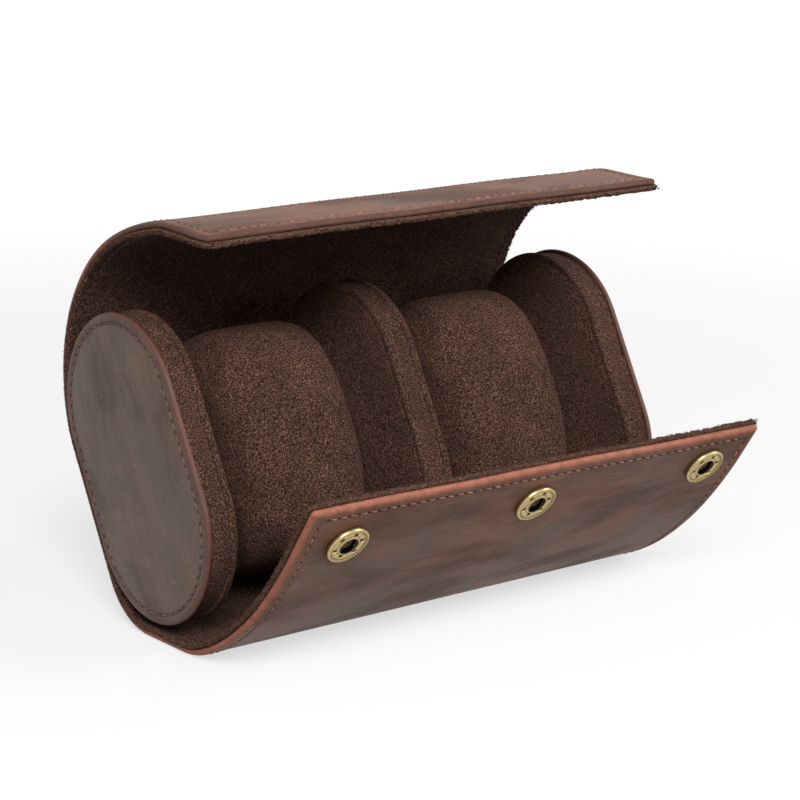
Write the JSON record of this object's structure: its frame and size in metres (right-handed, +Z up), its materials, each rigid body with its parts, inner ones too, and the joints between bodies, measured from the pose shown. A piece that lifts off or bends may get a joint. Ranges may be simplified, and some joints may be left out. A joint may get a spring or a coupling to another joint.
{
  "type": "watch travel case",
  "caption": "Leather watch roll with suede lining: a wrap with two creased flaps and snaps round padded discs, open, with lift-out pillows.",
  "frame": {"origin": "centre of the flat under the wrap on which the open case leans back", "axes": "+X along the case's length to the right end, +Y towards the back, +Z up, pose as pictured"},
  "size_m": [0.1636, 0.1224, 0.1187],
  "materials": {
    "brown_leather": "satin",
    "suede": "matte",
    "foam": "matte",
    "board": "matte",
    "antique_brass": "satin",
    "spring_steel": "gloss"
  },
  "bodies": {
    "case": {"back_leather": "brown_leather", "back_lining": "suede", "left_cap": "brown_leather", "left_cap_padding": "foam", "left_end_board": "board", "left_end_foam": "foam", "left_band": "suede", "left_inner_face": "suede", "left_welt": "suede", "right_cap": "brown_leather", "right_cap_padding": "foam", "right_end_board": "board", "right_end_foam": "foam", "right_band": "suede", "right_inner_face": "suede", "right_welt": "suede", "divider_board": "board", "divider_left_foam": "foam", "divider_right_foam": "foam", "divider_band": "suede", "divider_left_face": "suede", "divider_right_face": "suede", "divider_left_welt": "suede", "divider_right_welt": "suede"},
    "top_flap_root": {"top_root_leather": "brown_leather", "top_root_lining": "suede"},
    "top_flap_middle": {"top_middle_leather": "brown_leather", "top_middle_lining": "suede"},
    "top_flap_edge": {"top_edge_leather": "brown_leather", "top_edge_lining": "suede", "top_stiffener": "board", "studs": "antique_brass", "stud_posts": "antique_brass"},
    "front_flap_root": {"front_root_leather": "brown_leather", "front_root_lining": "suede"},
    "front_flap_middle": {"front_middle_leather": "brown_leather", "front_middle_lining": "suede"},
    "front_flap_edge": {"front_edge_leather": "brown_leather", "front_edge_lining": "suede", "sockets": "antique_brass", "socket_springs": "spring_steel", "socket_posts": "antique_brass"},
    "left_pillow": {"left_pillow_foam": "foam", "left_pillow_cover": "suede"},
    "right_pillow": {"right_pillow_foam": "foam", "right_pillow_cover": "suede"}
  },
  "joints": [
    {"name": "top_root_crease", "type": "hinge", "parent": "case", "child": "top_flap_root", "pos_m": [0, 0.04765, 0.06791], "axis": [-1, 0, 0], "range_deg": [-18.5, 12]},
    {"name": "top_middle_crease", "type": "hinge", "parent": "top_flap_root", "child": "top_flap_middle", "pos_m": [0, 0.03568, 0.09745], "axis": [-1, 0, 0], "range_deg": [-27.3, 17.8]},
    {"name": "top_edge_crease", "type": "hinge", "parent": "top_flap_middle", "child": "top_flap_edge", "pos_m": [0, -0.00119, 0.11509], "axis": [-1, 0, 0], "range_deg": [-11.9, 15]},
    {"name": "front_root_crease", "type": "hinge", "parent": "case", "child": "front_flap_root", "pos_m": [0, -0.00946, 0.00341], "axis": [1, 0, 0], "range_deg": [-32.3, 0]},
    {"name": "front_middle_crease", "type": "hinge", "parent": "front_flap_root", "child": "front_flap_middle", "pos_m": [0, -0.03346, 0.01416], "axis": [1, 0, 0], "range_deg": [-7.6, 0]},
    {"name": "front_edge_crease", "type": "hinge", "parent": "front_flap_middle", "child": "front_flap_edge", "pos_m": [0, -0.04267, 0.0221], "axis": [1, 0, 0], "range_deg": [-24.8, 15]},
    {"name": "left_pillow_lift", "type": "slide", "parent": "case", "child": "left_pillow", "axis": [0, -0.8829, 0.4695], "range_m": [0, 0.05]},
    {"name": "right_pillow_lift", "type": "slide", "parent": "case", "child": "right_pillow", "axis": [0, -0.8829, 0.4695], "range_m": [0, 0.05]}
  ],
  "couplings": [
    {"joint": "top_middle_crease", "follows": "top_root_crease", "ratio": 1.4703},
    {"joint": "front_middle_crease", "follows": "front_root_crease", "ratio": 0.2322}
  ]
}
